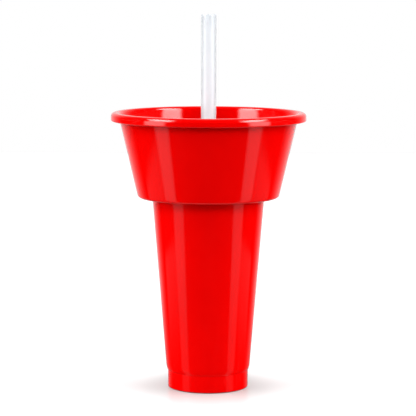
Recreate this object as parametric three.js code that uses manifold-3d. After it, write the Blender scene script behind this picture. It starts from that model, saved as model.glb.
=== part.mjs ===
// Snack-and-drink cup: a tapered drink cup, a snack bowl that screws into its mouth, and a
// straw that passes down through the middle of the bowl. Millimetres, +Z up, origin at the
// centre of the foot's underside.
import * as THREE from 'three';
import { mergeVertices } from 'three/addons/utils/BufferGeometryUtils.js';
import Module from 'manifold-3d';

const wasm = await Module();
wasm.setup();

// ---- Driving dimensions ----------------------------------------------------------------

const SIDES = 60; // facets around every large turned shape
const SMALL_SIDES = 30; // facets around the straw and its grommet
const ARC_STEPS = 2; // a rounded corner is cut into twice as many straight steps
const GAP = 0.3; // clearance between pieces that touch in use

const WALL = 1.8; // moulded wall of the cup

const CUP = {
  footRadius: 31.05, footCorner: 1.0, footTread: 2.4,
  recess: 3.0, floor: 5.0,
  stepHeight: 13.8, stepOut: 1.1, stepCorner: 0.4,
  heelRadius: 14.0, heelTurn: THREE.MathUtils.degToRad(20),
  wallSlope: 0.0826, top: 149.2,
  mouthRadius: 40.7, mouthDepth: 15.0, lipCorner: 0.7,
};

const BOWL = {
  underside: 148.0, floorWall: 2.0, wall: 1.75,
  baseRadius: 54.4, baseCorner: 2.6, innerCorner: 4.0, wallSlope: 0.234,
  rimRadius: 75.0, rimTop: 213.4, rimUnderside: 206.9, rimCorner: 3.0, rimWall: 1.6,
};

const SPIGOT = { radius: 39.2, wall: 1.8, bottom: 136.0 }; // plug under the bowl
const SEAT = { radius: 43.9, ceiling: 151.6 }; // groove that takes the cup's lip and its seal
const CHIMNEY = { innerRadius: 9.5, outerRadius: 11.3, top: 166.0 };

const THREAD = {
  starts: 3, lead: 12.0, sweep: THREE.MathUtils.degToRad(150), steps: 25,
  depth: 1.1, crestWidth: 1.2, rootWidth: 2.0, bury: 0.5, fade: 0.12,
  cupHeight: 140.0,
};

const SEAL_THICKNESS = 1.8;
const GROMMET_FLANGE = { radius: 11.6, thickness: 1.8 };
const STRAW = { radius: 5.85, wall: 0.9, top: 288.2 };

const RED = 0xd90407;

// ---- Shape helpers ---------------------------------------------------------------------

// An outline drawn in the half plane (radius, height), with near-coincident points removed.
function outline(draw) {
  const path = new THREE.Path();
  draw(path);
  const points = path.getPoints(ARC_STEPS);
  return points.filter((point, i) => i === 0 || point.distanceTo(points[i - 1]) > 1e-6);
}

// An outline turned about the Z axis.
function turned(points, sides) {
  return new THREE.LatheGeometry(points, sides).rotateX(Math.PI / 2);
}

function toManifold(geometry) {
  geometry.deleteAttribute('normal');
  geometry.deleteAttribute('uv');
  const merged = mergeVertices(geometry, 1e-5);
  return new wasm.Manifold(new wasm.Mesh({
    numProp: 3,
    vertProperties: new Float32Array(merged.attributes.position.array),
    triVerts: new Uint32Array(merged.index.array),
  }));
}

function toGeometry(manifold) {
  const mesh = manifold.getMesh();
  const geometry = new THREE.BufferGeometry();
  geometry.setAttribute('position', new THREE.BufferAttribute(mesh.vertProperties, 3));
  geometry.setIndex(new THREE.BufferAttribute(mesh.triVerts, 1));
  return geometry;
}

function piece(name, geometry, color, roughness) {
  const material = new THREE.MeshStandardMaterial({ color, roughness, metalness: 0 });
  const mesh = new THREE.Mesh(geometry, material);
  mesh.name = name;
  return mesh;
}

// One thread rib: a straight bar whose section has X as height and Y as radius, bent round
// the axis and raised by the thread's lead. It runs out into the wall at both ends.
function threadRib(rootRadius, crestRadius, height, startAngle) {
  const buriedRadius = rootRadius + Math.sign(rootRadius - crestRadius) * THREAD.bury;
  const section = new THREE.Shape([
    new THREE.Vector2(-THREAD.rootWidth / 2, buriedRadius),
    new THREE.Vector2(THREAD.rootWidth / 2, buriedRadius),
    new THREE.Vector2(THREAD.crestWidth / 2, crestRadius),
    new THREE.Vector2(-THREAD.crestWidth / 2, crestRadius),
  ]);
  const bar = new THREE.ExtrudeGeometry(section,
    { steps: THREAD.steps, depth: 1, bevelEnabled: false });
  const position = bar.getAttribute('position');
  const hiddenCrest = THREE.MathUtils.lerp(rootRadius, buriedRadius, 0.4);
  for (let i = 0; i < position.count; i++) {
    const along = position.getZ(i);
    const full = Math.min(1, along / THREAD.fade, (1 - along) / THREAD.fade);
    const isCrest = Math.abs(position.getY(i) - crestRadius) < 1e-3;
    const radius = isCrest
      ? THREE.MathUtils.lerp(hiddenCrest, crestRadius, full) : position.getY(i);
    const turn = THREAD.sweep * along;
    const rise = THREAD.lead * turn / (2 * Math.PI);
    position.setXYZ(i, radius * Math.cos(startAngle + turn),
      radius * Math.sin(startAngle + turn), height + rise + position.getX(i));
  }
  return bar;
}

// A turned body with its ring of thread ribs.
function threaded(points, rootRadius, crestRadius, height) {
  let body = toManifold(turned(points, SIDES));
  for (let start = 0; start < THREAD.starts; start++) {
    const angle = 2 * Math.PI * start / THREAD.starts;
    body = body.add(toManifold(threadRib(rootRadius, crestRadius, height, angle)));
  }
  return toGeometry(body);
}

// ---- Drink cup -------------------------------------------------------------------------

const cupRadiusAt = (z) => CUP.footRadius + CUP.stepOut + CUP.wallSlope * (z - CUP.stepHeight);

// Foot of the wall: an arc that leaves the wall smoothly, turns in by heelTurn and ends in a
// small corner over the foot.
function drawHeel(path) {
  const { heelRadius, heelTurn, stepHeight, stepCorner, wallSlope, footRadius } = CUP;
  const wallTurn = Math.atan(wallSlope);
  const drop = heelRadius * (Math.sin(heelTurn) - Math.sin(wallTurn));
  const tangentHeight = stepHeight + stepCorner + drop;
  const centreRadius = cupRadiusAt(tangentHeight) - heelRadius * Math.cos(wallTurn);
  const centreHeight = tangentHeight + heelRadius * Math.sin(wallTurn);
  const tip = centreRadius + heelRadius * Math.cos(heelTurn);
  path.lineTo(footRadius, stepHeight);
  path.lineTo(tip - stepCorner, stepHeight);
  path.absarc(centreRadius, centreHeight, heelRadius, -heelTurn, -wallTurn);
}

function cupOutline() {
  const { footRadius, footCorner, footTread, recess, floor, stepHeight } = CUP;
  const { top, mouthRadius, mouthDepth, lipCorner } = CUP;
  const treadInner = footRadius - footCorner - footTread;
  const shoulder = top - mouthDepth;
  const lipOuter = cupRadiusAt(top);
  return outline((path) => {
    path.moveTo(0, recess);
    path.lineTo(treadInner - recess / 2, recess);
    path.lineTo(treadInner, 0);
    path.absarc(footRadius - footCorner, footCorner, footCorner, -Math.PI / 2, 0);
    drawHeel(path);
    path.absarc(lipOuter - lipCorner, top - lipCorner, lipCorner, 0, Math.PI / 2);
    path.absarc(mouthRadius + lipCorner, top - lipCorner, lipCorner, Math.PI / 2, Math.PI);
    path.lineTo(mouthRadius, shoulder);
    path.lineTo(cupRadiusAt(shoulder - 2 * WALL) - WALL, shoulder - 2 * WALL);
    path.lineTo(cupRadiusAt(stepHeight + 2 * WALL) - WALL, stepHeight + 2 * WALL);
    path.lineTo(footRadius - WALL, stepHeight + WALL / 2);
    path.absarc(footRadius - 2 * WALL, floor + WALL, WALL, 0, -Math.PI / 2, true);
    path.lineTo(0, floor);
  });
}

function drinkCup() {
  const crest = CUP.mouthRadius - THREAD.depth;
  const geometry = threaded(cupOutline(), CUP.mouthRadius, crest, THREAD.cupHeight);
  return piece('drink_cup', geometry, RED, 0.22);
}

// ---- Snack bowl ------------------------------------------------------------------------

// The bowl's outer wall, and the same wall seen from inside.
const bowlRadiusAt = (z) => BOWL.baseRadius + BOWL.wallSlope * (z - BOWL.underside);
const bowlInnerRadiusAt = (z) => bowlRadiusAt(z) - BOWL.wall;

const plateau = SEAT.ceiling + BOWL.floorWall; // raised middle of the bowl's floor
const bowlFloor = BOWL.underside + BOWL.floorWall;

// Rolled rim: a downturned skirt, open underneath. Both corners have the rim's radius.
function drawRim(path) {
  const { rimRadius, rimTop, rimUnderside, rimCorner, rimWall } = BOWL;
  const ceiling = rimTop - rimWall;
  const hollowCorner = rimCorner - rimWall;
  const centre = rimTop - rimCorner;
  path.lineTo(bowlRadiusAt(ceiling - hollowCorner), ceiling - hollowCorner);
  path.lineTo(bowlRadiusAt(ceiling) + hollowCorner, ceiling);
  path.absarc(rimRadius - rimCorner, centre, hollowCorner, Math.PI / 2, 0, true);
  path.lineTo(rimRadius - rimWall, rimUnderside);
  path.lineTo(rimRadius - rimWall / 2, rimUnderside);
  path.lineTo(rimRadius, rimUnderside + rimWall / 2);
  path.absarc(rimRadius - rimCorner, centre, rimCorner, 0, Math.PI / 2);
  const innerCentre = bowlInnerRadiusAt(centre) + rimCorner;
  path.absarc(innerCentre, centre, rimCorner, Math.PI / 2, Math.PI);
}

function bowlOutline() {
  const { underside, floorWall, baseCorner, innerCorner } = BOWL;
  const spigotInner = SPIGOT.radius - SPIGOT.wall;
  const baseEdge = bowlRadiusAt(underside + baseCorner);
  const innerEdge = bowlInnerRadiusAt(bowlFloor + innerCorner);
  return outline((path) => {
    path.moveTo(spigotInner, SPIGOT.bottom);
    path.lineTo(SPIGOT.radius, SPIGOT.bottom);
    path.lineTo(SPIGOT.radius, SEAT.ceiling);
    path.lineTo(SEAT.radius, SEAT.ceiling);
    path.lineTo(SEAT.radius, underside);
    path.absarc(baseEdge - baseCorner, underside + baseCorner, baseCorner, -Math.PI / 2, 0);
    drawRim(path);
    path.absarc(innerEdge - innerCorner, bowlFloor + innerCorner, innerCorner, 0,
      -Math.PI / 2, true);
    path.lineTo(SEAT.radius + 1.5 * floorWall, bowlFloor);
    path.lineTo(SEAT.radius + floorWall, plateau);
    path.lineTo(CHIMNEY.outerRadius + floorWall, plateau);
    path.lineTo(CHIMNEY.outerRadius, plateau + floorWall);
    path.lineTo(CHIMNEY.outerRadius, CHIMNEY.top);
    path.lineTo(CHIMNEY.innerRadius, CHIMNEY.top);
    path.lineTo(CHIMNEY.innerRadius, SEAT.ceiling);
    path.lineTo(spigotInner, SEAT.ceiling);
    path.lineTo(spigotInner, SPIGOT.bottom);
  });
}

// The bowl's ribs sit midway between the cup's ribs, half a pitch lower.
function snackBowl() {
  const crest = SPIGOT.radius + THREAD.depth;
  const height = THREAD.cupHeight - THREAD.lead / THREAD.starts / 2;
  return piece('snack_bowl', threaded(bowlOutline(), SPIGOT.radius, crest, height), RED, 0.2);
}

// ---- Silicone seals --------------------------------------------------------------------

// A ring with a rectangular section.
function ringOutline(inner, outer, bottom, top) {
  return outline((path) => {
    path.moveTo(inner, bottom);
    path.lineTo(outer, bottom);
    path.lineTo(outer, top);
    path.lineTo(inner, top);
    path.lineTo(inner, bottom);
  });
}

function bowlSealRing() {
  const top = SEAT.ceiling - GAP;
  const points = ringOutline(SPIGOT.radius + GAP, SEAT.radius - GAP, top - SEAL_THICKNESS, top);
  return piece('bowl_seal_ring', turned(points, SIDES), 0xe9e6e2, 0.6);
}

// A sleeve inside the chimney, held by a flange above it and another below the bowl's floor.
function strawGrommet() {
  const inner = STRAW.radius + GAP;
  const sleeve = CHIMNEY.innerRadius - GAP;
  const upper = CHIMNEY.top + GAP;
  const lower = SEAT.ceiling - GAP;
  const { radius, thickness } = GROMMET_FLANGE;
  const points = outline((path) => {
    path.moveTo(inner, lower - thickness);
    path.lineTo(radius, lower - thickness);
    path.lineTo(radius, lower);
    path.lineTo(sleeve, lower);
    path.lineTo(sleeve, upper);
    path.lineTo(radius, upper);
    path.lineTo(radius, upper + thickness);
    path.lineTo(inner, upper + thickness);
    path.lineTo(inner, lower - thickness);
  });
  return piece('straw_grommet', turned(points, SMALL_SIDES), 0xe9e6e2, 0.55);
}

// ---- Straw -----------------------------------------------------------------------------

// A plain tube that stands on the cup's floor.
function straw() {
  const inner = STRAW.radius - STRAW.wall;
  const points = ringOutline(inner, STRAW.radius, CUP.floor + GAP, STRAW.top);
  return piece('straw', turned(points, SMALL_SIDES), 0xeeedf2, 0.3);
}

const group = new THREE.Group();
group.add(drinkCup(), snackBowl(), bowlSealRing(), strawGrommet(), straw());

export default group;
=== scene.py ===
"""Fine surfaces, finishes and studio for a snack-and-drink cup: a tapered drink cup, a snack
bowl screwed into its mouth, the two silicone seals and a straw. Lengths are in metres, +Z up,
with the origin under the middle of the cup's foot."""

import math

import bpy
import numpy as np
from bpy.props import FloatProperty, FloatVectorProperty, IntProperty, PointerProperty
from bpy.types import Operator, Panel, PropertyGroup
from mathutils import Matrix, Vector


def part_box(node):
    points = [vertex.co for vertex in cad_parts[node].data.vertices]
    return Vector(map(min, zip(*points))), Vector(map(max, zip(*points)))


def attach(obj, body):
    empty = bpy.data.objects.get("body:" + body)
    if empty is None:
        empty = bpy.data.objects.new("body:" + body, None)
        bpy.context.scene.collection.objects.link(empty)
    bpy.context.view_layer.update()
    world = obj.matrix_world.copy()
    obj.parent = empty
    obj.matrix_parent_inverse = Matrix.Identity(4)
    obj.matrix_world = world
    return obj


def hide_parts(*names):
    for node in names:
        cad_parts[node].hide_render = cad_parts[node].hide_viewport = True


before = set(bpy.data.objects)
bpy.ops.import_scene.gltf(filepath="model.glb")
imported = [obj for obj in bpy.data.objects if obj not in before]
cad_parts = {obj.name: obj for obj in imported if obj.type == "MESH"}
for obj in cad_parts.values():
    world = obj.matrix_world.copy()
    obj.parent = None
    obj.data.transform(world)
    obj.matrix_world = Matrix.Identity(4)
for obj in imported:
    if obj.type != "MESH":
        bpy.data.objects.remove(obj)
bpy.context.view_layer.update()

bl_info = {
    "name": "Snack and Drink Cup",
    "version": (1, 0, 0),
    "blender": (4, 5, 0),
    "location": "3D View > Sidebar > Snack Cup",
    "description": "Builds a snack-and-drink cup with its bowl, seals and straw, and its studio",
    "category": "Object",
}

_, CUP_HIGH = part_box("drink_cup")
BOWL_LOW, BOWL_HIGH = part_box("snack_bowl")
SEAL_LOW, SEAL_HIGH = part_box("bowl_seal_ring")
GROMMET_LOW, GROMMET_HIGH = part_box("straw_grommet")
STRAW_LOW, STRAW_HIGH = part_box("straw")

FULL_TURN = 2 * math.pi
DEGREES = 180 / math.pi  # degrees in a radian
ON_WALL = 0.00002  # a point this near a threaded wall's radius lies on that wall, in metres
CRISP = 0.0003  # rounding of a small moulded edge, in metres
PLASTIC_IOR, SILICONE_IOR = 1.5, 1.41
OVAL_DEPTH = 0.8  # the floor's shade is this much tighter across than from front to back
MIX_FACTOR, MIX_FIRST, MIX_SECOND, MIX_RESULT = 0, 6, 7, 2  # a Mix node's colour sockets


def length(name, description, default):
    """A property that holds a length in metres."""
    return FloatProperty(name=name, description=description, default=default, min=0.0,
                         precision=5, unit="LENGTH", subtype="DISTANCE")


def colour(name, description, default):
    """A property that holds a linear colour."""
    return FloatVectorProperty(name=name, description=description, default=default, size=3,
                               min=0.0, max=1.0, subtype="COLOR")


class SnackCupSizes(PropertyGroup):
    """Sizes of the cup, the bowl, their thread and the seals."""

    sides: IntProperty(name="Sides", description="Facets round each large piece",
                       default=256, min=24, max=360)
    row_step: length("Row Step", "Longest run between two rows of points", 0.0028)
    thread_step: length("Thread Step", "Row spacing on a threaded wall", 0.00022)

    wall: length("Cup Wall", "Thickness of the cup's wall", 0.0018)
    foot_radius: length("Foot Radius", "Radius of the cup's foot", 0.03105)
    foot_corner: length("Foot Corner", "Rounding under the foot", 0.001)
    foot_tread: length("Foot Tread", "Width of the flat ring that the cup stands on", 0.0024)
    recess: length("Recess", "Height of the hollow under the cup", 0.003)
    cup_floor: length("Cup Floor", "Height of the floor inside the cup", 0.005)
    step_height: length("Step Height", "Height of the step above the foot", 0.0138)
    step_out: length("Step Width", "How far the wall stands out over the foot", 0.0011)
    step_corner: length("Step Corner", "Rounding of the step's edge", 0.0004)
    heel_radius: length("Heel Radius", "Curve of the wall where it turns in to the step", 0.014)
    heel_turn: FloatProperty(name="Heel Turn", description="How far the wall turns in",
                             default=math.radians(20), subtype="ANGLE")
    cup_slope: FloatProperty(name="Cup Slope", description="Widening of the cup per height",
                             default=0.0826)
    lip_corner: length("Lip Corner", "Rounding of the cup's lip", 0.0009)
    mouth_radius: length("Mouth Radius", "Inner radius of the threaded mouth", 0.0407)
    mouth_depth: length("Mouth Depth", "Depth of the threaded mouth", 0.015)

    bowl_underside: length("Bowl Underside", "Height of the bowl's underside", 0.148)
    bowl_base: length("Bowl Base", "Radius of the bowl's wall at its underside", 0.0544)
    bowl_slope: FloatProperty(name="Bowl Slope", description="Widening of the bowl per height",
                              default=0.234)
    bowl_wall: length("Bowl Wall", "Thickness of the bowl's wall", 0.00175)
    bowl_floor: length("Bowl Floor", "Thickness of the bowl's floor", 0.002)
    base_corner: length("Base Corner", "Rounding under the bowl", 0.0026)
    inner_corner: length("Inner Corner", "Rounding inside the bowl", 0.004)
    rim_underside: length("Rim Underside", "Height of the rim's lower edge", 0.2069)
    rim_corner: length("Rim Corner", "Rounding over the rim", 0.003)
    rim_wall: length("Rim Wall", "Thickness of the rolled rim", 0.0016)
    spigot_radius: length("Spigot Radius", "Radius of the threaded spigot's wall", 0.0392)
    spigot_wall: length("Spigot Wall", "Thickness of the spigot", 0.0018)
    seat_radius: length("Seat Radius", "Outer radius of the groove over the cup's lip", 0.0439)
    seat_ceiling: length("Seat Ceiling", "Height of the groove's ceiling", 0.1516)
    chimney_inner: length("Chimney Bore", "Inner radius of the straw chimney", 0.0095)
    chimney_outer: length("Chimney Radius", "Outer radius of the straw chimney", 0.0113)
    chimney_top: length("Chimney Top", "Height of the straw chimney", 0.166)

    thread_starts: IntProperty(name="Thread Starts", description="Ribs round the thread",
                               default=3, min=1, max=6)
    thread_lead: length("Thread Lead", "Climb of the thread in one turn", 0.012)
    thread_sweep: FloatProperty(name="Thread Sweep", description="Angle that a rib covers",
                                default=math.radians(150), subtype="ANGLE")
    thread_fade: FloatProperty(name="Thread Fade", description="Angle over which a rib fades",
                               default=math.radians(16), subtype="ANGLE")
    thread_depth: length("Thread Depth", "How far a rib stands out", 0.0011)
    thread_crest: length("Thread Crest", "Width of a rib's top", 0.0012)
    thread_root: length("Thread Root", "Width of a rib's foot", 0.002)
    thread_height: length("Thread Height", "Height of the cup's ribs where they start", 0.14)

    straw_wall: length("Straw Wall", "Thickness of the straw's wall", 0.0009)
    seal_bead: length("Seal Bead", "Height of the beads on the seal ring", 0.0004)


class SnackCupColours(PropertyGroup):
    """Linear colours of the plastics, the silicone and the floor."""

    red: colour("Red", "Plastic of the cup and the bowl", (0.815, 0.0006, 0.0004))
    deep_red: colour("Deep Red", "Thicker-looking patches of the red plastic",
                     (0.765, 0.0003, 0.0003))
    # Painted shade: a dark red that stands in for the contact shadow along the foot's lowest edge
    contact_shade_red: colour("Contact Shade Red", "Edge that the cup stands on", (0.3, 0.004, 0.003))
    milky: colour("Milky", "Plastic of the straw", (0.78, 0.82, 0.855))
    silicone: colour("Silicone", "The seal ring and the straw's grommet", (0.82, 0.81, 0.79))
    floor: colour("Floor", "The studio floor", (0.86, 0.86, 0.86))


# ---- Surfaces ---------------------------------------------------------------------------


def smooth(t):
    """Smooth step: 3 t^2 - 2 t^3, with t held between 0 and 1."""
    t = np.clip(t, 0.0, 1.0)
    return t * t * (3.0 - 2.0 * t)


def fillet_arc(before, corner, after, radius, arc_step=math.radians(9)):
    """Points of the arc that rounds a corner.

    Where the outline turns by an angle t, the arc touches both straights at radius * tan(t / 2)
    from the corner. Its centre is radius / cos(t / 2) from the corner, on the line that halves
    the corner, and the arc's points lie at equal angles about that centre."""
    into = (corner - before) / np.linalg.norm(corner - before)
    out = (after - corner) / np.linalg.norm(after - corner)
    turn = math.acos(float(np.clip(into @ out, -1.0, 1.0)))
    if radius <= 0.0 or turn < 1e-4:
        return corner[None, :]
    bisector = (out - into) / np.linalg.norm(out - into)
    centre = corner + bisector * radius / math.cos(turn / 2)
    start = corner - into * radius * math.tan(turn / 2) - centre
    side = math.copysign(1.0, into[0] * out[1] - into[1] * out[0])
    steps = max(3, math.ceil(turn / arc_step))
    swing = side * np.linspace(0.0, turn, steps + 1)
    return centre + np.stack((start[0] * np.cos(swing) - start[1] * np.sin(swing),
                              start[0] * np.sin(swing) + start[1] * np.cos(swing)), axis=1)


def outline(corners, closed, step):
    """Radius and height of every point along an outline with rounded corners.

    Each corner is (radius, height, rounding) or has a fourth value, the longest run between
    points on the straight that leads to it. Straights are cut into equal runs."""
    points = np.array([c[:2] for c in corners], float)
    count = len(corners)
    arcs = []
    for i, corner in enumerate(corners):
        inside = closed or 0 < i < count - 1
        if inside:
            arcs.append(fillet_arc(points[i - 1], points[i], points[(i + 1) % count], corner[2]))
        else:
            arcs.append(points[i][None, :])
    rows = []
    for i in range(count):
        if i or closed:
            start, end = arcs[i - 1][-1], arcs[i][0]
            run = corners[i][3] if len(corners[i]) > 3 else step
            cuts = max(1, math.ceil(np.linalg.norm(end - start) / run))
            rows.append(start + (end - start) * (np.arange(1, cuts) / cuts)[:, None])
        rows.append(arcs[i])
    made = np.concatenate(rows)
    return made[:, 0], made[:, 1]


def revolved(name, radius, height, sides, closed, relief=None):
    """A surface of revolution as a mesh object.

    Point (i, j) stands at the angle 2 pi j / sides, at height_i, and at radius_i plus the
    relief there. relief is a function of the grids of angle, radius and height. An outline
    that isn't closed starts and ends on the axis, where its rows shrink to single points."""
    angle = FULL_TURN * np.arange(sides) / sides
    angles, radii = np.meshgrid(angle, radius)
    heights = np.repeat(height[:, None], sides, axis=1)
    if relief is not None:
        radii = radii + relief(angles, radii, heights)
    grid = np.stack((radii * np.cos(angles), radii * np.sin(angles), heights), axis=2)
    rows = len(radius)
    index = np.arange(rows * sides).reshape(rows, sides)
    if closed:
        vertices = grid.reshape(-1, 3)
        low, high = index, np.roll(index, -1, axis=0)
        caps = []
    else:
        first, last = rows * sides, rows * sides + 1
        poles = [[0.0, 0.0, height[0]], [0.0, 0.0, height[-1]]]
        vertices = np.concatenate((grid.reshape(-1, 3), poles))
        low, high = index[1:-2], index[2:-1]
        caps = fan(index[1], first, True) + fan(index[-2], last, False)
    right = np.roll(low, -1, axis=1), np.roll(high, -1, axis=1)
    quads = np.stack((low, right[0], right[1], high), axis=2).reshape(-1, 4).tolist()
    return mesh_object(name, vertices, quads + caps, not closed, index)


def fan(ring, pole, below):
    """Triangles from a ring of points to the pole under or over it."""
    around = np.roll(ring, -1)
    ordered = (around, ring) if below else (ring, around)
    return np.stack((*ordered, np.full(len(ring), pole)), axis=1).tolist()


def mesh_object(name, vertices, faces, has_poles, index):
    """Puts points and faces into a smooth-shaded mesh object, with a cylindrical UV map. With
    has_poles, the first and last rows are left out, because single points stand for them."""
    used = np.ones(len(vertices), bool)
    if has_poles:
        used[index[0]] = False
        used[index[-1]] = False
    renumber = np.cumsum(used) - 1
    mesh = bpy.data.meshes.new(name)
    mesh.from_pydata(vertices[used].tolist(), [], [[int(renumber[v]) for v in f] for f in faces])
    mesh.polygons.foreach_set("use_smooth", np.ones(len(mesh.polygons), bool))
    unwrap(mesh)
    piece = bpy.data.objects.new(name, mesh)
    bpy.context.scene.collection.objects.link(piece)
    return piece


def unwrap(mesh):
    """UV map: u is the angle about the axis over a full turn, v is the height in metres."""
    points = np.empty(len(mesh.vertices) * 3)
    mesh.vertices.foreach_get("co", points)
    points = points.reshape(-1, 3)
    corner = np.empty(len(mesh.loops), np.int32)
    mesh.loops.foreach_get("vertex_index", corner)
    face = np.repeat(np.arange(len(mesh.polygons)), [p.loop_total for p in mesh.polygons])
    turn = (np.arctan2(points[:, 1], points[:, 0]) / FULL_TURN)[corner]
    first = np.zeros(len(mesh.polygons))
    first[face[::-1]] = turn[::-1]
    turn = turn - np.round(turn - first[face])
    uv = np.stack((turn, points[corner, 2]), axis=1)
    mesh.uv_layers.new(name="around").data.foreach_set("uv", uv.ravel())


# ---- Outlines of the pieces ---------------------------------------------------------------


def thread_ridge(sizes, angles, heights, first_height):
    """Share of a thread rib's full depth at each angle and height, from 0 to 1.

    A rib's middle line climbs lead / (2 pi) per unit of turn from where it starts. The rib is
    full within half its crest width of that line, falls smoothly to nothing at half its root
    width, and fades in and out at the two ends of its sweep."""
    ridge = np.zeros_like(angles)
    for start in range(sizes.thread_starts):
        turn = np.mod(angles - FULL_TURN * start / sizes.thread_starts, FULL_TURN)
        middle = first_height + sizes.thread_lead * turn / FULL_TURN
        flank = (sizes.thread_root - sizes.thread_crest) / 2
        across = smooth((sizes.thread_root / 2 - abs(heights - middle)) / flank)
        along = smooth(turn / sizes.thread_fade)
        along *= smooth((sizes.thread_sweep - turn) / sizes.thread_fade)
        ridge = np.maximum(ridge, across * along)
    return ridge


def cup_radius(sizes, height):
    """Outer radius of the cup's wall at a height: it widens evenly above the step."""
    return sizes.foot_radius + sizes.step_out + sizes.cup_slope * (height - sizes.step_height)


def bowl_radius(sizes, height):
    """Outer radius of the bowl's wall at a height: it widens evenly above the underside."""
    return sizes.bowl_base + sizes.bowl_slope * (height - sizes.bowl_underside)


def heel_corners(sizes):
    """The two corners where the cup's wall turns in above the foot.

    The wall meets a second straight that leans in by heel_turn; the rounding between them is
    an arc of heel_radius, and the lower straight ends at the step."""
    wall_turn = math.atan(sizes.cup_slope)
    drop = sizes.heel_radius * (math.sin(sizes.heel_turn) - math.sin(wall_turn))
    tangent = sizes.step_height + sizes.step_corner + drop
    reach = sizes.heel_radius * math.tan((sizes.heel_turn - wall_turn) / 2)
    apex = tangent - reach * math.cos(wall_turn)
    apex_radius = cup_radius(sizes, apex)
    tip = apex_radius - (apex - sizes.step_height) * math.tan(sizes.heel_turn)
    return [(tip, sizes.step_height, sizes.step_corner), (apex_radius, apex, sizes.heel_radius)]


def cup_outline(sizes):
    """Up the outside of the cup, over its lip and down the inside to the middle of the floor."""
    top = CUP_HIGH.z
    tread = sizes.foot_radius - sizes.foot_corner - sizes.foot_tread
    shoulder = top - sizes.mouth_depth
    ledge = shoulder - 2 * sizes.wall
    heel = sizes.step_height + 2 * sizes.wall
    gate, gate_drop = 0.0022, 0.0005  # the mark that the mould's filling point leaves
    corners = [
        (0.0, sizes.recess - gate_drop, 0.0),
        (gate, sizes.recess - gate_drop, CRISP),
        (gate, sizes.recess, CRISP),
        (tread - sizes.recess / 2, sizes.recess, 0.0012),
        (tread, 0.0, 0.0004),
        (sizes.foot_radius, 0.0, sizes.foot_corner),
        (sizes.foot_radius, sizes.step_height, CRISP),
        *heel_corners(sizes),
        (cup_radius(sizes, top), top, sizes.lip_corner),
        (sizes.mouth_radius, top, sizes.lip_corner),
        (sizes.mouth_radius, shoulder, 0.001, sizes.thread_step),
        (cup_radius(sizes, ledge) - sizes.wall, ledge, 0.001),
        (cup_radius(sizes, heel) - sizes.wall, heel, 0.0015),
        (sizes.foot_radius - sizes.wall, sizes.step_height + sizes.wall / 2, 0.0015),
        (sizes.foot_radius - sizes.wall, sizes.cup_floor, sizes.wall),
        (0.0, sizes.cup_floor, 0.0),
    ]
    return outline(corners, False, sizes.row_step)


def bowl_outline(sizes):
    """Up the spigot, over its groove, out under the bowl, round the rim, down the inside, over
    the chimney and back down inside the spigot."""
    rim, top = BOWL_HIGH.x, BOWL_HIGH.z
    bore = sizes.spigot_radius - sizes.spigot_wall
    under_rim = top - sizes.rim_wall
    floor = sizes.bowl_underside + sizes.bowl_floor
    plateau = sizes.seat_ceiling + sizes.bowl_floor
    inner = bowl_radius(sizes, top) - sizes.bowl_wall
    chimney_foot = sizes.chimney_outer + 0.0005
    corners = [
        (bore, BOWL_LOW.z, 0.0006),
        (sizes.spigot_radius, BOWL_LOW.z, 0.0007),
        (sizes.spigot_radius, sizes.seat_ceiling, CRISP, sizes.thread_step),
        (sizes.seat_radius, sizes.seat_ceiling, 0.0006),
        (sizes.seat_radius, sizes.bowl_underside, 0.0005),
        (sizes.bowl_base, sizes.bowl_underside, sizes.base_corner),
        (bowl_radius(sizes, under_rim), under_rim, 0.0014),
        (rim - sizes.rim_wall, under_rim, sizes.rim_corner - sizes.rim_wall),
        (rim - sizes.rim_wall, sizes.rim_underside, 0.0005),
        (rim, sizes.rim_underside, 0.0009),
        (rim, top, sizes.rim_corner),
        (inner, top, sizes.rim_corner),
        (bowl_radius(sizes, floor) - sizes.bowl_wall, floor, sizes.inner_corner),
        (sizes.seat_radius + 1.5 * sizes.bowl_floor, floor, 0.0012),
        (sizes.seat_radius + sizes.bowl_floor, plateau, 0.0012),
        (chimney_foot, plateau, 0.002),
        (sizes.chimney_outer, sizes.chimney_top, 0.0007),
        (sizes.chimney_inner, sizes.chimney_top, 0.0005),
        (sizes.chimney_inner, sizes.seat_ceiling, 0.0004),
        (bore, sizes.seat_ceiling, 0.001),
    ]
    return outline(corners, True, sizes.row_step)


def seal_outline(sizes):
    """A flat ring with a rounded bead above and below the middle of its width."""
    low, high = SEAL_LOW.z + sizes.seal_bead, SEAL_HIGH.z - sizes.seal_bead
    hole = sizes.spigot_radius + 0.0003
    edge = SEAL_HIGH.x
    middle = (hole + edge) / 2
    bead = 0.0011
    overshoot = 0.0002  # the bead's corner lies this far out, and its rounding brings it back
    corners = [
        (hole, low, CRISP),
        (middle - bead, low, CRISP),
        (middle, SEAL_LOW.z - overshoot, 0.0006),
        (middle + bead, low, CRISP),
        (edge, low, 0.0004),
        (edge, high, 0.0004),
        (middle + bead, high, CRISP),
        (middle, SEAL_HIGH.z + overshoot, 0.0006),
        (middle - bead, high, CRISP),
        (hole, high, CRISP),
    ]
    return outline(corners, True, sizes.seal_bead)


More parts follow.
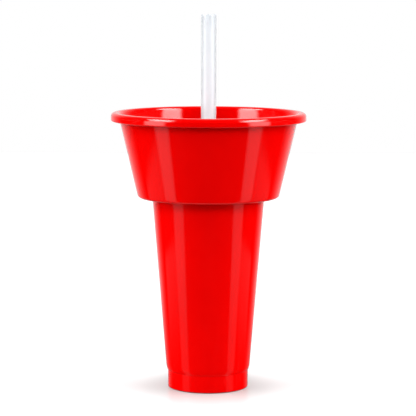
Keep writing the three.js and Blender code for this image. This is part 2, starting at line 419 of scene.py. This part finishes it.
def grommet_outline(sizes):
    """A sleeve between two flanges, with a soft lip at each end that reaches in to the straw."""
    low, high = GROMMET_LOW.z, GROMMET_HIGH.z
    flange = GROMMET_HIGH.x
    flange_face = flange - 0.0006
    sleeve = sizes.chimney_inner - 0.0001
    gap = 0.00015
    over, under = sizes.chimney_top + gap, sizes.seat_ceiling - gap
    lip = STRAW_HIGH.x + 0.00008
    bore = lip + 0.0009
    funnel, funnel_dip = lip + 0.0008, 0.0002
    row_step = 0.0008
    corners = [
        (lip, low, CRISP),
        (flange_face, low, 0.0007),
        (flange, under, 0.0005),
        (sleeve, under, CRISP),
        (sleeve, over, CRISP),
        (flange, over, 0.0005),
        (flange_face, high, 0.001),
        (funnel, high - funnel_dip, 0.0004),
        (lip, high - 0.0010, CRISP),
        (bore, high - 0.0028, 0.0006),
        (bore, low + 0.0022, 0.0006),
        (lip, low + 0.0009, CRISP),
    ]
    return outline(corners, True, row_step)


def straw_outline(sizes):
    """A thin-walled tube with softly rounded cut ends."""
    outer = STRAW_HIGH.x
    inner = outer - sizes.straw_wall
    ease = sizes.straw_wall * 0.3
    row_step = 0.004
    corners = [
        (inner, STRAW_LOW.z, ease),
        (outer, STRAW_LOW.z, ease),
        (outer, STRAW_HIGH.z, ease),
        (inner, STRAW_HIGH.z, ease),
    ]
    return outline(corners, True, row_step)


# ---- Shared shader effects ----------------------------------------------------------------


class Sheet:
    """A node tree with short calls for adding nodes and links."""

    def __init__(self, tree):
        self.tree = tree

    def add(self, kind, inputs=None, **settings):
        """A new node, with its settings, and its inputs fed by name or number."""
        node = self.tree.nodes.new(kind)
        for name, value in settings.items():
            setattr(node, name, value)
        for name, value in (inputs or {}).items():
            self.feed(node.inputs[name], value)
        return node

    def feed(self, socket, value):
        """Links another socket to this one, or sets this one's own value."""
        if isinstance(value, bpy.types.NodeSocket):
            self.tree.links.new(value, socket)
        else:
            socket.default_value = value

    def math(self, operation, *values):
        """The result of one operation on numbers or sockets."""
        node = self.add("ShaderNodeMath", operation=operation)
        for socket, value in zip(node.inputs, values):
            self.feed(socket, value)
        return node.outputs[0]

    def ramp(self, value, low, high, start=0.0, end=1.0):
        """value carried smoothly from the range low..high to start..end."""
        node = self.add("ShaderNodeMapRange", interpolation_type="SMOOTHSTEP",
                        inputs={"Value": value, "From Min": low, "From Max": high,
                                "To Min": start, "To Max": end})
        return node.outputs["Result"]

    def blend(self, factor, first, second):
        """A colour between first, where factor is 0, and second, where it is 1."""
        node = self.add("ShaderNodeMix", data_type="RGBA", inputs={
            MIX_FACTOR: factor, MIX_FIRST: first, MIX_SECOND: second})
        return node.outputs[MIX_RESULT]


def effect(name, inputs, outputs):
    """A new shader node group with named float inputs and outputs, as (sheet, inputs, outputs)."""
    tree = bpy.data.node_groups.new(name, "ShaderNodeTree")
    for label, value in inputs.items():
        socket = tree.interface.new_socket(label, in_out="INPUT", socket_type="NodeSocketFloat")
        socket.default_value = value
    for label in outputs:
        tree.interface.new_socket(label, in_out="OUTPUT", socket_type="NodeSocketFloat")
    sheet = Sheet(tree)
    return sheet, sheet.add("NodeGroupInput").outputs, sheet.add("NodeGroupOutput").inputs


def moulded_skin():
    """Skin of a moulded or extruded plastic piece: a soft unevenness like orange peel, and faint
    flow lines that run up the wall. Height is in metres, Streak and Mottle are masks."""
    sheet, given, made = effect("Moulded Skin", {
        "Peel Size": 0.006, "Peel Depth": 0.00002, "Lines Round": 70.0, "Line Depth": 0.000004,
    }, ("Height", "Streak", "Mottle"))
    place = sheet.add("ShaderNodeTexCoord")
    peel_scale = sheet.math("DIVIDE", 1.0, given["Peel Size"])
    peel = sheet.add("ShaderNodeTexNoise", inputs={
        "Vector": place.outputs["Object"], "Scale": peel_scale, "Detail": 1.0, "Roughness": 0.4})
    split = sheet.add("ShaderNodeSeparateXYZ", inputs={0: place.outputs["UV"]})
    turn = sheet.math("MULTIPLY", split.outputs[0], FULL_TURN)
    reach = sheet.math("DIVIDE", given["Lines Round"], FULL_TURN)
    across = sheet.add("ShaderNodeCombineXYZ", inputs={
        0: sheet.math("MULTIPLY", sheet.math("COSINE", turn), reach),
        1: sheet.math("MULTIPLY", sheet.math("SINE", turn), reach),
        2: sheet.math("MULTIPLY", split.outputs[1], 9.0)})
    lines = sheet.add("ShaderNodeTexNoise", inputs={
        "Vector": across.outputs[0], "Scale": 1.0, "Detail": 3.0, "Roughness": 0.55})
    cloud = sheet.add("ShaderNodeTexNoise", inputs={
        "Vector": place.outputs["Object"], "Scale": 28.0, "Detail": 2.0, "Roughness": 0.5})
    height = sheet.math("MULTIPLY", peel.outputs[0], given["Peel Depth"])
    ridges = sheet.math("MULTIPLY", lines.outputs[0], given["Line Depth"])
    sheet.feed(made["Height"], sheet.math("ADD", height, ridges))
    sheet.feed(made["Streak"], sheet.ramp(lines.outputs[0], 0.42, 0.62))
    sheet.feed(made["Mottle"], sheet.ramp(cloud.outputs[0], 0.35, 0.65))
    return sheet.tree


def handling_marks():
    """Marks that handling leaves on a glossy piece: hair-fine scratches, and smudges where
    fingers dull the gloss. Both outputs are masks."""
    sheet, given, made = effect("Handling Marks", {
        "Scratch Size": 0.02, "Smudge Size": 0.03,
    }, ("Scratches", "Smudges"))
    place = sheet.add("ShaderNodeTexCoord")
    scale = sheet.math("DIVIDE", 1.0, given["Scratch Size"])
    bend = sheet.add("ShaderNodeTexNoise", inputs={
        "Vector": place.outputs["Object"], "Scale": scale, "Detail": 1.0})
    offset = sheet.add("ShaderNodeVectorMath", operation="SCALE", inputs={
        0: bend.outputs["Color"], "Scale": 0.012})
    moved = sheet.add("ShaderNodeVectorMath", operation="ADD", inputs={
        0: place.outputs["Object"], 1: offset.outputs[0]})
    turned = sheet.add("ShaderNodeMapping", inputs={
        "Vector": moved.outputs[0], "Rotation": (0.6, 0.35, 0.9), "Scale": (1.0, 1.0, 0.08)})
    cells = sheet.add("ShaderNodeTexVoronoi", feature="DISTANCE_TO_EDGE", inputs={
        "Vector": turned.outputs[0], "Scale": sheet.math("MULTIPLY", scale, 3.0)})
    hair = sheet.ramp(cells.outputs[0], 0.0, 0.012, 1.0, 0.0)
    patchy = sheet.ramp(bend.outputs[0], 0.5, 0.62)
    fingers = sheet.add("ShaderNodeTexNoise", inputs={
        "Vector": place.outputs["Object"],
        "Scale": sheet.math("DIVIDE", 1.0, given["Smudge Size"]), "Detail": 4.0,
        "Roughness": 0.6, "Distortion": 0.4})
    sheet.feed(made["Scratches"], sheet.math("MULTIPLY", hair, patchy))
    sheet.feed(made["Smudges"], sheet.ramp(fingers.outputs[0], 0.52, 0.7))
    return sheet.tree


def shared(sheet, build, values):
    """Places the node group that a function builds, made once and then found by its name, with
    values for its inputs."""
    name = build.__name__.replace("_", " ").title()
    tree = bpy.data.node_groups.get(name) or build()
    return sheet.add("ShaderNodeGroup", node_tree=tree, inputs=values)


# ---- Materials ----------------------------------------------------------------------------


def blank_material(name):
    """A material with only a Principled shader and its output, as (material, sheet, shader)."""
    material = bpy.data.materials.new(name)
    material.use_nodes = True
    sheet = Sheet(material.node_tree)
    material.node_tree.nodes.clear()
    shader = sheet.add("ShaderNodeBsdfPrincipled")
    output = sheet.add("ShaderNodeOutputMaterial")
    sheet.feed(output.inputs["Surface"], shader.outputs[0])
    return material, sheet, shader


def tone(colour, share=1.0):
    """Red, green and blue scaled by the same share, with a full alpha."""
    return (*(share * part for part in colour), 1.0)


def roughened(sheet, start, *layers):
    """A roughness that begins at start and grows by each (mask, amount) pair."""
    gloss = start
    for mask, amount in layers:
        gloss = sheet.math("MULTIPLY_ADD", mask, amount, gloss)
    return gloss


def dress(sheet, shader, tint, gloss, skin, strength, ior):
    """Gives a shader its colour, its roughness, the skin's relief and its refraction."""
    relief = sheet.add("ShaderNodeBump", inputs={
        "Strength": strength, "Distance": 1.0, "Height": skin.outputs["Height"]})
    sheet.feed(shader.inputs["Base Color"], tint)
    sheet.feed(shader.inputs["Roughness"], gloss)
    sheet.feed(shader.inputs["Normal"], relief.outputs[0])
    shader.inputs["IOR"].default_value = ior


def glossy_red(name, colours, lines_round, foot=False):
    """Opaque red plastic with a moulded gloss: the red deepens in soft patches, the gloss is
    streaked by flow lines and dulled by a few smudges and hair scratches. With foot, the lowest
    millimetre has a painted contact shade that darkens it, and is dulled by wear where the piece
    is set down. Soft light that
    bounces off the plastic finds a dimmer red, so that little of it tints its neighbours."""
    material, sheet, shader = blank_material(name)
    skin = shared(sheet, moulded_skin, {
        "Peel Size": 0.011, "Peel Depth": 0.00003, "Lines Round": lines_round,
        "Line Depth": 0.000009})
    marks = shared(sheet, handling_marks, {"Scratch Size": 0.03, "Smudge Size": 0.035})
    patch = sheet.math("MULTIPLY", skin.outputs["Mottle"], 0.55)
    red = sheet.blend(patch, tone(colours.red), tone(colours.deep_red))
    gloss = roughened(sheet, 0.05, (skin.outputs["Streak"], 0.025),
                      (marks.outputs["Smudges"], 0.025), (marks.outputs["Scratches"], 0.10))
    if foot:
        place = sheet.add("ShaderNodeTexCoord")
        split = sheet.add("ShaderNodeSeparateXYZ", inputs={0: place.outputs["UV"]})
        # Painted contact shade: the lowest millimetre darkens to stand in for the shadow where the
        # cup meets the floor; the added roughness there is wear
        contact_shade_and_scuff = sheet.ramp(split.outputs[1], 0.0003, 0.0012, 1.0, 0.0)
        red = sheet.blend(contact_shade_and_scuff, red, tone(colours.contact_shade_red))
        gloss = roughened(sheet, gloss, (contact_shade_and_scuff, 0.3))
    path = sheet.add("ShaderNodeLightPath")
    red = sheet.blend(path.outputs["Is Diffuse Ray"], red, tone(colours.red, 0.4))
    dress(sheet, shader, red, gloss, skin, 0.35, PLASTIC_IOR)
    return material


def milky_plastic(colours):
    """Milky straw plastic that lets light in just under its surface: faint clouds, fine lines
    along the tube from the die it was drawn through, and a greyer look towards the tube's
    sides, where the eye meets the wall obliquely: partly the denser look of an oblique wall,
    partly painted shade that tempers the bright side light."""
    material, sheet, shader = blank_material("Milky Plastic")
    skin = shared(sheet, moulded_skin, {
        "Peel Size": 0.004, "Peel Depth": 0.00001, "Lines Round": 46.0,
        "Line Depth": 0.000012})
    marks = shared(sheet, handling_marks, {"Scratch Size": 0.02, "Smudge Size": 0.02})
    tint = sheet.blend(skin.outputs["Mottle"], tone(colours.milky), tone(colours.milky, 0.95))
    # Painted shade: the colour greys towards the tube's sides by facing angle, partly the denser
    # look of an oblique wall, partly to temper the bright side light
    turned = sheet.add("ShaderNodeLayerWeight", inputs={"Blend": 0.5})
    slant_shade = sheet.ramp(turned.outputs["Facing"], 0.0, 0.5)
    tint = sheet.blend(slant_shade, tint, tone(colours.milky, 0.64))
    gloss = roughened(sheet, 0.16, (skin.outputs["Streak"], 0.05),
                      (marks.outputs["Smudges"], 0.06))
    dress(sheet, shader, tint, gloss, skin, 0.4, PLASTIC_IOR)
    shader.inputs["Subsurface Weight"].default_value = 0.7
    shader.inputs["Subsurface Radius"].default_value = (1.0, 1.0, 1.0)
    shader.inputs["Subsurface Scale"].default_value = 0.001
    return material


def frosted_silicone(colours):
    """Satin silicone: a fine grain, and dust that settles in soft patches."""
    material, sheet, shader = blank_material("Frosted Silicone")
    skin = shared(sheet, moulded_skin, {
        "Peel Size": 0.0006, "Peel Depth": 0.00001, "Lines Round": 40.0,
        "Line Depth": 0.000003})
    dusty = tone(colours.silicone, 0.86)
    tint = sheet.blend(skin.outputs["Mottle"], tone(colours.silicone), dusty)
    gloss = roughened(sheet, 0.42, (skin.outputs["Streak"], 0.12))
    dress(sheet, shader, tint, gloss, skin, 0.6, SILICONE_IOR)
    return material


# ---- Operators ----------------------------------------------------------------------------


def settle(piece, material, body, node):
    """Gives a finished piece its material and the body it moves with, and hides the imported node
    it stands for.
    """
    if piece.data.validate():
        raise RuntimeError(f"{piece.name}: the surface has faulty faces")
    piece.data.materials.append(material)
    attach(piece, body)
    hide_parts(node)


class SNACKCUP_OT_cup(Operator):
    """Build the drink cup with its stepped foot and threaded mouth"""

    bl_idname = "snackcup.cup"
    bl_label = "Build Drink Cup"

    def execute(self, context):
        sizes, colours = context.scene.snack_cup_sizes, context.scene.snack_cup_colours

        def ribs(angles, radii, heights):
            wall = abs(radii - sizes.mouth_radius) < ON_WALL
            ridge = thread_ridge(sizes, angles, heights, sizes.thread_height)
            return -sizes.thread_depth * ridge * wall

        cup = revolved("cup_shell", *cup_outline(sizes), sizes.sides, False, ribs)
        plastic = glossy_red("Red Cup Plastic", colours, 30.0, foot=True)
        settle(cup, plastic, "cup", "drink_cup")
        return {"FINISHED"}


class SNACKCUP_OT_bowl(Operator):
    """Build the snack bowl with its rolled rim, threaded spigot and straw chimney"""

    bl_idname = "snackcup.bowl"
    bl_label = "Build Snack Bowl"

    def execute(self, context):
        sizes, colours = context.scene.snack_cup_sizes, context.scene.snack_cup_colours
        first = sizes.thread_height - sizes.thread_lead / sizes.thread_starts / 2

        def ribs(angles, radii, heights):
            wall = abs(radii - sizes.spigot_radius) < ON_WALL
            return sizes.thread_depth * thread_ridge(sizes, angles, heights, first) * wall

        bowl = revolved("bowl_shell", *bowl_outline(sizes), sizes.sides, True, ribs)
        settle(bowl, glossy_red("Red Bowl Plastic", colours, 44.0), "bowl", "snack_bowl")
        return {"FINISHED"}


class SNACKCUP_OT_seals(Operator):
    """Build the two silicone seals: the ring between cup and bowl, and the straw's grommet"""

    bl_idname = "snackcup.seals"
    bl_label = "Build Seals"

    def execute(self, context):
        sizes, colours = context.scene.snack_cup_sizes, context.scene.snack_cup_colours
        silicone = frosted_silicone(colours)
        ring = revolved("seal_ring", *seal_outline(sizes), sizes.sides, True)
        settle(ring, silicone, "seal", "bowl_seal_ring")
        grommet = revolved("grommet_sleeve", *grommet_outline(sizes), sizes.sides // 2, True)
        settle(grommet, silicone, "bowl", "straw_grommet")
        return {"FINISHED"}


class SNACKCUP_OT_straw(Operator):
    """Build the wide straw as a thin-walled tube"""

    bl_idname = "snackcup.straw"
    bl_label = "Build Straw"

    def execute(self, context):
        sizes, colours = context.scene.snack_cup_sizes, context.scene.snack_cup_colours
        tube = revolved("straw_tube", *straw_outline(sizes), sizes.sides // 2, True)
        settle(tube, milky_plastic(colours), "straw", "straw")
        return {"FINISHED"}


# ---- Studio -------------------------------------------------------------------------------


def aim(holder, target, place):
    """Sets a lamp at a place, turned to a target, and keeps it out of mirror reflections."""
    holder.location = place
    holder.rotation_euler = (target - place).to_track_quat("-Z", "Y").to_euler()
    holder.visible_glossy = False


def softbox(name, azimuth, elevation, distance, size, power):
    """A soft rectangular lamp, aimed at the upper part of the cup. Azimuth 0 is in front (-Y).
    It gives soft light only, and doesn't show in mirror reflections."""
    lamp = bpy.data.lights.new(name, "AREA")
    lamp.shape = "RECTANGLE"
    lamp.size, lamp.size_y = size
    lamp.energy = power
    holder = bpy.data.objects.new(name, lamp)
    bpy.context.scene.collection.objects.link(holder)
    target = Vector((0.0, 0.0, CUP_HIGH.z * 0.8))
    flat = distance * math.cos(elevation)
    place = target + Vector((flat * math.sin(azimuth), -flat * math.cos(azimuth),
                             distance * math.sin(elevation)))
    aim(holder, target, place)
    holder.visible_camera = False
    holder.visible_transmission = False


def straw_lamp(name, straw, power):
    """A narrow lamp in front that lights only the straw, strongest just below the rim."""
    lamp = bpy.data.lights.new(name, "SPOT")
    lamp.energy = power
    lamp.spot_size, lamp.spot_blend = math.radians(9.6), 1.0
    lamp.shadow_soft_size = 0.03
    holder = bpy.data.objects.new(name, lamp)
    bpy.context.scene.collection.objects.link(holder)
    target, place = Vector((0.0, 0.0, 0.2)), Vector((0.0, -1.2, 0.37))
    aim(holder, target, place)
    only = bpy.data.collections.new(name)
    only.objects.link(straw)
    holder.light_linking.receiver_collection = only


def band(sheet, value, low, high, edge):
    """1 where value lies between low and high, falling smoothly to 0 over the edge width."""
    up = sheet.ramp(value, sheet.math("SUBTRACT", low, edge), sheet.math("ADD", low, edge))
    down = sheet.ramp(value, sheet.math("SUBTRACT", high, edge), sheet.math("ADD", high, edge),
                      1.0, 0.0)
    return sheet.math("MULTIPLY", up, down)


def bearing(sheet, x, y):
    """Angle in degrees from the front (-Y), positive towards +X."""
    swing = sheet.math("ARCTAN2", x, sheet.math("MULTIPLY", y, -1.0))
    return sheet.math("MULTIPLY", swing, DEGREES)


def axis_distance(sheet, x, y):
    """Distance of a point from the upright axis: the root of x squared plus y squared."""
    squares = [sheet.math("POWER", part, 2.0) for part in (x, y)]
    return sheet.math("SQRT", sheet.math("ADD", *squares))


def studio_world(scene):
    """Surroundings of the studio, by degrees from the front and above the horizon.

    The eye sees white. Soft light comes mostly from the sides and from overhead, and less of
    it from behind. Mirror reflections see a dark room with one tall panel at each side, which
    brightens with height and leans outward near its top, the panels' fainter images in the
    floor below them, a grey wall behind and a pale patch straight below."""
    world = bpy.data.worlds.new("Studio")
    world.use_nodes = True
    scene.world = world
    sheet = Sheet(world.node_tree)
    world.node_tree.nodes.clear()
    place = sheet.add("ShaderNodeTexCoord")
    split = sheet.add("ShaderNodeSeparateXYZ", inputs={0: place.outputs["Generated"]})
    swing = bearing(sheet, split.outputs[0], split.outputs[1])
    side = sheet.math("ABSOLUTE", swing)
    rise = sheet.math("MULTIPLY", sheet.math("ARCSINE", split.outputs[2]), DEGREES)

    # What mirror reflections see. Both panels stand a little to the left.
    panel_shift, panel_span, panel_softness = 2.0, (-9.0, 56.0), 3.5
    shifted = sheet.math("ABSOLUTE", sheet.math("ADD", swing, panel_shift))
    lean = sheet.ramp(rise, 28.0, 42.0, 0.0, 12.0)
    outer = sheet.math("ADD", sheet.ramp(rise, 0.0, 24.0, 77.5, 68.0),
                       sheet.math("MULTIPLY", lean, 2.0))
    inner = sheet.math("ADD", sheet.ramp(rise, -6.0, 18.0, 51.0, 41.5), lean)
    panel = sheet.math("MULTIPLY", band(sheet, shifted, inner, outer, panel_softness),
                       band(sheet, rise, *panel_span, 3.0))
    panel = sheet.math("MULTIPLY", panel, sheet.ramp(rise, 2.0, 45.0, 3.4, 14.5))
    image_span, image_outer = (-70.0, -11.0), 78.0
    image_inner = sheet.ramp(rise, -26.0, -16.0, 57.5, 54.5)
    image = sheet.math("MULTIPLY", band(sheet, side, image_inner, image_outer, 3.0),
                       band(sheet, rise, *image_span, 2.0))
    image = sheet.math("MULTIPLY", image, sheet.ramp(rise, -30.0, -12.0, 0.66, 0.40))
    wall = sheet.math("MULTIPLY", sheet.ramp(side, 118.0, 165.0),
                      sheet.ramp(rise, 14.0, 40.0, 0.8, 0.25))
    below = sheet.ramp(rise, -64.0, -52.0, 0.7, 0.0)
    mirror = sheet.math("MAXIMUM", sheet.math("ADD", panel, image), below)
    mirror = sheet.math("ADD", wall, mirror)

    # Soft light: one level near the horizon and one overhead. Each grows towards the sides
    # and falls behind, and the two are blended by height.
    level = sheet.math("ADD", sheet.ramp(side, 30.0, 79.0, 0.0, 5.3),
                       sheet.ramp(side, 98.0, 150.0, 0.0, -4.0))
    high = sheet.math("ADD", sheet.ramp(side, 20.0, 75.0, 0.55, 1.8),
                      sheet.ramp(side, 110.0, 160.0, 0.0, -0.9))
    lift = sheet.ramp(rise, 14.0, 38.0)
    soft = sheet.math("ADD", sheet.math("MULTIPLY", level, sheet.math("SUBTRACT", 1.0, lift)),
                      sheet.math("MULTIPLY", high, lift))

    white = (1.0, 1.0, 1.0, 1.0)
    seen, fill, shine = (
        sheet.add("ShaderNodeBackground", inputs={"Color": white, "Strength": strength})
        for strength in (1.0, soft, mirror))
    path = sheet.add("ShaderNodeLightPath")
    lit = sheet.add("ShaderNodeMixShader", inputs={
        0: path.outputs["Is Diffuse Ray"], 1: seen.outputs[0], 2: fill.outputs[0]})
    full = sheet.add("ShaderNodeMixShader", inputs={
        0: path.outputs["Is Glossy Ray"], 1: lit.outputs[0], 2: shine.outputs[0]})
    sheet.add("ShaderNodeOutputWorld", inputs={"Surface": full.outputs[0]})
    world.cycles.sampling_method = "NONE"


def studio_floor(colours):
    """Pale matt board with a slight sheen and a very faint unevenness.

    Its colour is a little darker in an oval round the cup's foot, which deepens the contact
    shadow, and a little lighter far away. Soft light that bounces off the board finds a much
    dimmer grey. Mirror reflections of the board show a dim patch where it is lit beside the
    cup, and let the panels' images through, fainter close to the cup."""
    material, sheet, shader = blank_material("Studio Floor")
    place = sheet.add("ShaderNodeTexCoord")
    cloud = sheet.add("ShaderNodeTexNoise", inputs={
        "Vector": place.outputs["Object"], "Scale": 3.0, "Detail": 2.0})
    shader.inputs["Roughness"].default_value = 0.25
    shader.inputs["Specular IOR Level"].default_value = 0.15

    # What mirror reflections see.
    split = sheet.add("ShaderNodeSeparateXYZ", inputs={0: place.outputs["Object"]})
    x, y = split.outputs[0], split.outputs[1]
    side = sheet.math("ABSOLUTE", bearing(sheet, x, y))
    reach = axis_distance(sheet, x, y)
    patch = sheet.math("MULTIPLY", band(sheet, side, 74.0, 110.0, 3.0),
                       sheet.ramp(reach, 0.03, 0.42, 0.0, 0.18))
    patch = sheet.math("MULTIPLY", patch, sheet.ramp(reach, 0.43, 0.50, 1.0, 0.0))
    glow = sheet.add("ShaderNodeEmission", inputs={"Strength": patch})
    clear = sheet.add("ShaderNodeBsdfTransparent", inputs={
        0: sheet.ramp(reach, 0.05, 0.45, 0.4, 1.0)})
    mirror = sheet.add("ShaderNodeAddShader", inputs={0: glow.outputs[0], 1: clear.outputs[0]})

    # What the eye sees, and the dimmer grey that soft light finds.
    path = sheet.add("ShaderNodeLightPath")
    grey = colours.floor
    plain = sheet.blend(cloud.outputs[0], tone(grey), tone(grey, 0.99))
    close = axis_distance(sheet, x, sheet.math("MULTIPLY", y, OVAL_DEPTH))
    plain = sheet.blend(sheet.ramp(close, 0.030, 0.066), tone(grey, 0.77), plain)
    plain = sheet.blend(sheet.ramp(reach, 0.12, 0.9), plain, tone(grey, 1.14))
    bounce = sheet.blend(sheet.ramp(reach, 0.05, 0.26), tone(grey, 0.61), tone(grey, 0.25))
    sheet.feed(shader.inputs["Base Color"],
               sheet.blend(path.outputs["Is Diffuse Ray"], plain, bounce))
    both = sheet.add("ShaderNodeMixShader", inputs={
        0: path.outputs["Is Glossy Ray"], 1: shader.outputs[0], 2: mirror.outputs[0]})
    output = next(n for n in material.node_tree.nodes if n.type == "OUTPUT_MATERIAL")
    sheet.feed(output.inputs["Surface"], both.outputs[0])
    return material


def floor_surface(half, cells):
    """A level square of the given half width in the plane z = 0, as a mesh object."""
    step = np.linspace(-half, half, cells + 1)
    x, y = np.meshgrid(step, step)
    points = np.stack((x, y, np.zeros_like(x)), axis=2).reshape(-1, 3)
    index = np.arange((cells + 1) ** 2).reshape(cells + 1, cells + 1)
    faces = np.stack((index[:-1, :-1], index[:-1, 1:], index[1:, 1:], index[1:, :-1]), axis=2)
    mesh = bpy.data.meshes.new("studio_floor")
    mesh.from_pydata(points.tolist(), [], faces.reshape(-1, 4).tolist())
    piece = bpy.data.objects.new("studio_floor", mesh)
    bpy.context.scene.collection.objects.link(piece)
    return piece


class SNACKCUP_OT_stage(Operator):
    """Set the floor, the lamps, the surroundings and the camera"""

    bl_idname = "snackcup.stage"
    bl_label = "Set Up Studio"

    def execute(self, context):
        scene = context.scene
        floor = floor_surface(half=2.0, cells=8)
        floor.data.materials.append(studio_floor(scene.snack_cup_colours))
        for name, azimuth in (("Left Softbox", -75), ("Right Softbox", 75)):
            softbox(name, math.radians(azimuth), math.radians(30), 1.2, (0.7, 0.9), 1.7)
        softbox("Front Softbox", 0.0, math.radians(29), 1.6, (0.6, 0.35), 7.6)
        straw_lamp("Straw Lamp", bpy.data.objects["straw_tube"], 11.0)
        studio_world(scene)
        scene.view_settings.view_transform = "Standard"
        scene.view_settings.look = "None"

        view = bpy.data.cameras.new("Camera")
        view.sensor_fit, view.sensor_width = "HORIZONTAL", 36.0
        view.lens = 164.8
        view.clip_end = 20.0
        camera = bpy.data.objects.new("Camera", view)
        scene.collection.objects.link(camera)
        camera.location = (-0.00028, -1.460, 0.3134)
        look_down, roll, swing = 6.797, -0.15, 0.0178
        camera.rotation_euler = (math.radians(90 - look_down), math.radians(roll),
                                 math.radians(swing))
        scene.camera = camera
        return {"FINISHED"}


class SNACKCUP_PT_panel(Panel):
    """Sidebar panel with one button for each build step"""

    bl_idname = "SNACKCUP_PT_panel"
    bl_label = "Snack and Drink Cup"
    bl_space_type = "VIEW_3D"
    bl_region_type = "UI"
    bl_category = "Snack Cup"

    def draw(self, context):
        column = self.layout.column(align=True)
        for step in STEPS:
            column.operator(step.bl_idname)
        scene = context.scene
        for title, group in (("Sizes", scene.snack_cup_sizes),
                             ("Colours", scene.snack_cup_colours)):
            box = self.layout.box()
            box.label(text=title)
            for name in group.__annotations__:
                box.prop(group, name)


STEPS = (SNACKCUP_OT_cup, SNACKCUP_OT_bowl, SNACKCUP_OT_seals, SNACKCUP_OT_straw,
         SNACKCUP_OT_stage)
CLASSES = (SnackCupSizes, SnackCupColours, *STEPS, SNACKCUP_PT_panel)


def register():
    for each in CLASSES:
        bpy.utils.register_class(each)
    bpy.types.Scene.snack_cup_sizes = PointerProperty(type=SnackCupSizes)
    bpy.types.Scene.snack_cup_colours = PointerProperty(type=SnackCupColours)


def unregister():
    del bpy.types.Scene.snack_cup_colours
    del bpy.types.Scene.snack_cup_sizes
    for each in reversed(CLASSES):
        bpy.utils.unregister_class(each)


def main():
    """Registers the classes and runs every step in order."""
    register()
    bpy.ops.snackcup.cup()
    bpy.ops.snackcup.bowl()
    bpy.ops.snackcup.seals()
    bpy.ops.snackcup.straw()
    bpy.ops.snackcup.stage()


if __name__ == "__main__":
    main()
